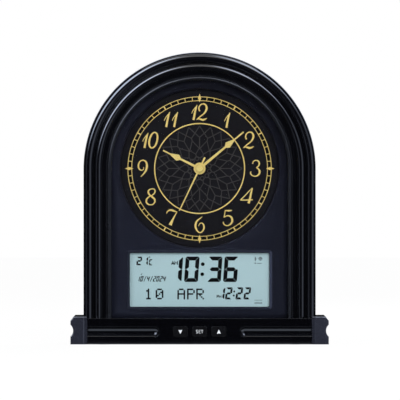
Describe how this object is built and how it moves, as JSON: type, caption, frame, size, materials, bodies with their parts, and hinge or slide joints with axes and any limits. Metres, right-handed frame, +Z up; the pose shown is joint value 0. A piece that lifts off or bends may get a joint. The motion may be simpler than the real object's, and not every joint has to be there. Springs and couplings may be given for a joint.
{
  "type": "azan clock",
  "caption": "Arched table clock with an analogue dial, a segment calendar display below it, three keys in the base and a call speaker behind.",
  "frame": {"origin": "on the table, under the middle of the base's outline", "axes": "+Z up, -Y towards the viewer of the dial, +X to the viewer's right"},
  "size_m": [0.194, 0.062, 0.22],
  "materials": {
    "gloss_black": "high gloss moulded ABS, black with a faint blue cast",
    "satin_navy": "satin moulded ABS, blue black",
    "clear_acrylic": "clear polished acrylic sheet",
    "dial_black": "satin black printed aluminium",
    "hand_gold": "gold finished pressed metal",
    "display_glass": "grey green liquid crystal cell",
    "guide_white": "white diffusing acrylic",
    "strip_rubber": "layered contact rubber",
    "key_grey": "fine textured dark grey ABS",
    "case_black": "fine textured black ABS",
    "foot_rubber": "soft black rubber",
    "board_green": "solder-masked board",
    "component_black": "moulded component packages",
    "screw_steel": "zinc plated steel",
    "contact_nickel": "nickel plated spring strip",
    "movement_plastic": "black moulded movement case",
    "wheel_plastic": "natural acetal",
    "magnet_grey": "ferrite",
    "core_iron": "soft iron",
    "coil_copper": "enamelled copper winding",
    "cell_wrap": "printed film, plain",
    "speaker_steel": "black pressed steel",
    "cone_paper": "dark pressed paper",
    "lead_red": "soft insulated lead",
    "knob_black": "fluted black ABS"
  },
  "bodies": {
    "clock_case": {"front_housing": "gloss_black", "base_housing": "gloss_black", "left_end_cap": "gloss_black", "right_end_cap": "gloss_black", "front_panel": "satin_navy", "front_glass": "clear_acrylic", "dial_plate": "dial_black", "display_cell": "display_glass", "light_guide": "guide_white", "contact_strips": "strip_rubber", "rear_cover": "case_black", "base_bottom": "case_black", "rubber_feet": "foot_rubber", "key_board": "board_green", "main_board": "board_green", "movement_circuit": "board_green", "volume_board": "board_green", "board_components": "component_black", "key_switches": "component_black", "volume_switch": "component_black", "cover_screws": "screw_steel", "base_screws": "screw_steel", "small_screws": "screw_steel", "movement_screws": "screw_steel", "speaker_screws": "screw_steel", "quartz_crystal": "screw_steel", "battery_contacts": "contact_nickel", "movement_case": "movement_plastic", "movement_cover": "movement_plastic", "speaker_magnet": "magnet_grey", "coil_core": "core_iron", "stator": "core_iron", "drive_coil": "coil_copper", "dry_cells": "cell_wrap", "speaker_frame": "speaker_steel", "speaker_cone": "cone_paper", "movement_leads": "lead_red", "speaker_leads": "lead_red", "key_leads": "lead_red", "battery_leads": "lead_red"},
    "second_hand_set": {"second_hand": "hand_gold", "second_wheel": "wheel_plastic"},
    "minute_hand_set": {"minute_hand": "hand_gold", "centre_wheel": "wheel_plastic"},
    "hour_hand_set": {"hour_hand": "hand_gold", "hour_wheel": "wheel_plastic"},
    "rotor_set": {"rotor": "magnet_grey"},
    "intermediate_wheel_set": {"intermediate_wheel": "wheel_plastic"},
    "third_wheel_set": {"third_wheel": "wheel_plastic"},
    "minute_wheel_set": {"minute_wheel": "wheel_plastic"},
    "setting_knob_set": {"setting_arbor": "wheel_plastic", "setting_knob": "knob_black"},
    "down_key_set": {"down_key": "key_grey", "down_switch_plunger": "component_black"},
    "set_key_set": {"set_key": "key_grey", "set_switch_plunger": "component_black"},
    "up_key_set": {"up_key": "key_grey", "up_switch_plunger": "component_black"},
    "battery_door_set": {"battery_door": "case_black"},
    "volume_slider_set": {"volume_slider": "knob_black"}
  },
  "joints": [
    {"name": "second_hand_turn", "type": "hinge", "parent": "clock_case", "child": "second_hand_set", "pos_m": [0, 0, 0.1325], "axis": [0, 1, 0], "continuous": true},
    {"name": "minute_hand_turn", "type": "hinge", "parent": "clock_case", "child": "minute_hand_set", "pos_m": [0, 0, 0.1325], "axis": [0, 1, 0], "continuous": true},
    {"name": "hour_hand_turn", "type": "hinge", "parent": "clock_case", "child": "hour_hand_set", "pos_m": [0, 0, 0.1325], "axis": [0, 1, 0], "continuous": true},
    {"name": "rotor_turn", "type": "hinge", "parent": "clock_case", "child": "rotor_set", "pos_m": [-0.01625, 0, 0.1325], "axis": [0, 1, 0], "continuous": true},
    {"name": "intermediate_wheel_turn", "type": "hinge", "parent": "clock_case", "child": "intermediate_wheel_set", "pos_m": [-0.00875, 0, 0.1325], "axis": [0, 1, 0], "continuous": true},
    {"name": "third_wheel_turn", "type": "hinge", "parent": "clock_case", "child": "third_wheel_set", "pos_m": [0.0085, 0, 0.1325], "axis": [0, 1, 0], "continuous": true},
    {"name": "minute_wheel_turn", "type": "hinge", "parent": "clock_case", "child": "minute_wheel_set", "pos_m": [0, 0, 0.12386], "axis": [0, 1, 0], "continuous": true},
    {"name": "setting_knob_turn", "type": "hinge", "parent": "clock_case", "child": "setting_knob_set", "pos_m": [0, 0, 0.11522], "axis": [0, 1, 0], "continuous": true},
    {"name": "down_key_press", "type": "slide", "parent": "clock_case", "child": "down_key_set", "axis": [0, 1, 0], "range_m": [0, 0.001], "stiffness_N_per_m": 800},
    {"name": "set_key_press", "type": "slide", "parent": "clock_case", "child": "set_key_set", "axis": [0, 1, 0], "range_m": [0, 0.001], "stiffness_N_per_m": 800},
    {"name": "up_key_press", "type": "slide", "parent": "clock_case", "child": "up_key_set", "axis": [0, 1, 0], "range_m": [0, 0.001], "stiffness_N_per_m": 800},
    {"name": "battery_door_slide", "type": "slide", "parent": "clock_case", "child": "battery_door_set", "axis": [0, 0, -1], "range_m": [0, 0.008]},
    {"name": "volume_slide", "type": "slide", "parent": "clock_case", "child": "volume_slider_set", "axis": [1, 0, 0], "range_m": [0, 0.004]}
  ],
  "couplings": [
    {"joint": "rotor_turn", "follows": "second_hand_turn", "ratio": 30},
    {"joint": "intermediate_wheel_turn", "follows": "second_hand_turn", "ratio": -6},
    {"joint": "third_wheel_turn", "follows": "second_hand_turn", "ratio": -0.13333},
    {"joint": "minute_hand_turn", "follows": "second_hand_turn", "ratio": 0.016667},
    {"joint": "minute_wheel_turn", "follows": "second_hand_turn", "ratio": -0.0055556},
    {"joint": "hour_hand_turn", "follows": "second_hand_turn", "ratio": 0.0013889},
    {"joint": "setting_knob_turn", "follows": "second_hand_turn", "ratio": 0.016667}
  ]
}
